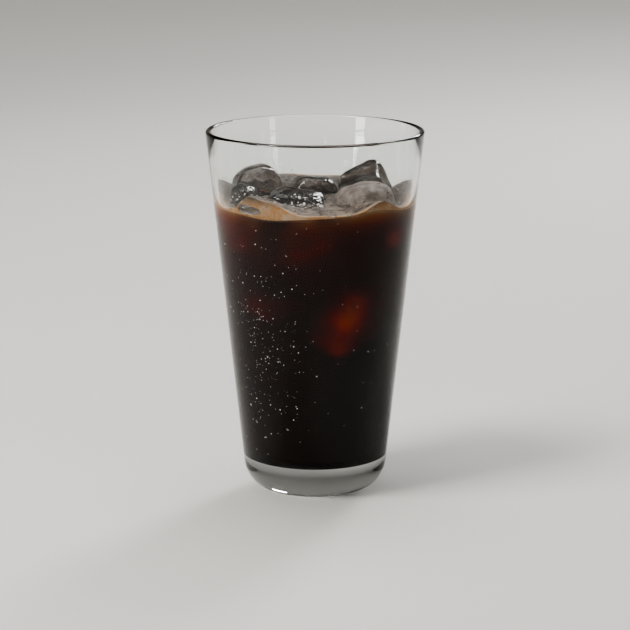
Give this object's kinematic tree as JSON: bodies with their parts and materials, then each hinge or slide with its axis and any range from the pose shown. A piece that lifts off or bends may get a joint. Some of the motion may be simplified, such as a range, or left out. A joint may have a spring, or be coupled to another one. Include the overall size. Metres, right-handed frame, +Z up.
{
  "type": "iced espresso",
  "caption": "Iced black coffee in a tapered thick-based tumbler, with a wavy layer of crema and melted ice standing through it; rests on its foot ring.",
  "frame": {"origin": "on the table, under the middle of the glass's foot", "axes": "+Z up along the glass's axis, -Y towards the viewer of the picture, +X to the viewer's right"},
  "size_m": [0.0886, 0.0886, 0.149],
  "materials": {
    "glass": "clear polished soda-lime glass",
    "coffee": "near-black clear liquid, deep red where thin",
    "crema": "fine tan foam",
    "ice": "clear melting ice, softly frosted"
  },
  "bodies": {
    "root": {"glass": "glass", "coffee": "coffee", "crema": "crema", "ice_front_left": "ice", "ice_left": "ice", "ice_back_left": "ice", "ice_centre": "ice", "ice_back_centre": "ice", "ice_back_right": "ice", "ice_front_right": "ice"}
  },
  "joints": []
}
